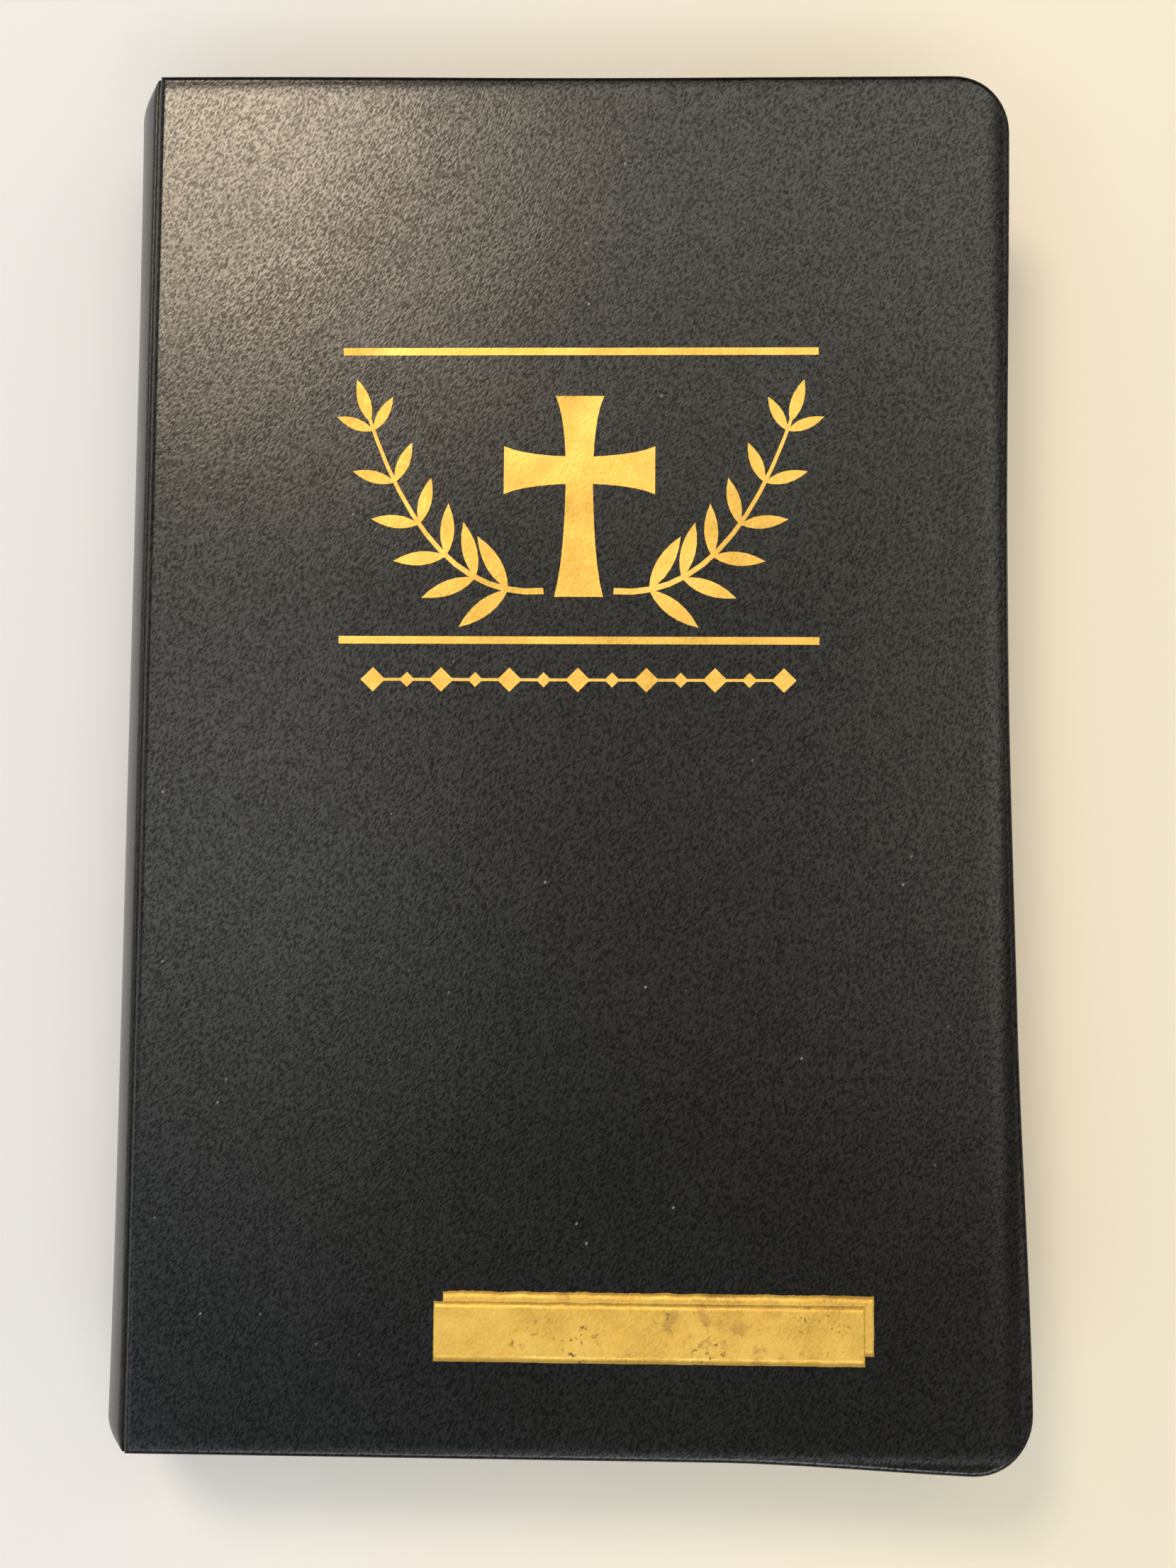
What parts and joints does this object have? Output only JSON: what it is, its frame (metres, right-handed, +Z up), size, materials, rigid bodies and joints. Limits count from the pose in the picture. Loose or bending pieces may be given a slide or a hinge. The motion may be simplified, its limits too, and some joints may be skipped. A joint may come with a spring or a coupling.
{
  "type": "bible",
  "caption": "Closed bible in a limp imitation-leather cover with a rounded spine, gold foil ornament, sewn page sections and opening covers.",
  "frame": {"origin": "middle of the underside of the closed book, where it lies on its back cover", "axes": "+Z up through the front cover, +Y towards the head of the book, +X towards the fore edge, spine at -X"},
  "size_m": [0.1554, 0.236, 0.036],
  "materials": {
    "leather": "pebbled bonded leather, soft sheen",
    "board": "grey-brown card",
    "endpaper": "matt",
    "paper": "matt",
    "page_block": "thin leaves, gilt on the three cut edges",
    "gold_foil": "hot-stamped foil, satin",
    "lining": "kraft",
    "mull": "open-weave cotton",
    "thread": "waxed thread",
    "band": "woven band"
  },
  "bodies": {
    "rear_block": {"rear_section_1": "page_block", "rear_section_2": "page_block", "rear_section_3": "page_block", "rear_section_4": "page_block", "rear_section_5": "page_block", "rear_section_6": "page_block", "rear_section_7": "page_block", "rear_section_8": "page_block", "map_leaves": "paper", "back_flyleaf": "endpaper", "spine_leather": "leather", "spine_lining": "lining", "spine_mull": "mull", "sewing_thread_1": "thread", "sewing_thread_2": "thread", "sewing_thread_3": "thread", "sewing_thread_4": "thread", "head_band": "band", "tail_band": "band"},
    "front_block": {"front_section_1": "page_block", "front_section_2": "page_block", "front_section_3": "page_block", "front_section_4": "page_block", "front_section_5": "page_block", "front_section_6": "page_block", "front_section_7": "page_block", "front_section_8": "page_block"},
    "front_leaves": {"front_flyleaf": "endpaper", "presentation_leaf": "paper", "title_leaf": "paper"},
    "front_cover": {"front_cover_leather": "leather", "front_cover_board": "board", "front_pastedown": "endpaper", "title_foil_cross": "gold_foil", "title_foil_spray_left": "gold_foil", "title_foil_spray_right": "gold_foil", "title_foil_lozenge_row": "gold_foil", "title_foil_upper_rule": "gold_foil", "title_foil_lower_rule": "gold_foil", "imprint_foil_bar": "gold_foil"},
    "back_cover": {"back_cover_leather": "leather", "back_cover_board": "board", "back_pastedown": "endpaper"}
  },
  "joints": [
    {"name": "middle_opening", "type": "hinge", "parent": "rear_block", "child": "front_block", "pos_m": [-0.07785, 0, 0.0185], "axis": [0, -1, 0], "range_deg": [0, 179.9], "deforming": ["spine_leather", "spine_lining", "spine_mull", "sewing_thread_1", "sewing_thread_2", "sewing_thread_3", "sewing_thread_4", "head_band", "tail_band"]},
    {"name": "front_leaves_turn", "type": "hinge", "parent": "front_block", "child": "front_leaves", "pos_m": [-0.07125, 0, 0.03705], "axis": [0, 1, 0], "range_deg": [-179.9, 0]},
    {"name": "front_cover_hinge", "type": "hinge", "parent": "front_leaves", "child": "front_cover", "pos_m": [-0.07125, 0, 0.03705], "axis": [0, 1, 0], "range_deg": [-179.9, 0]},
    {"name": "back_cover_hinge", "type": "hinge", "parent": "rear_block", "child": "back_cover", "pos_m": [-0.07125, 0, 0.0004], "axis": [0, -1, 0], "range_deg": [-179.9, 0]}
  ]
}
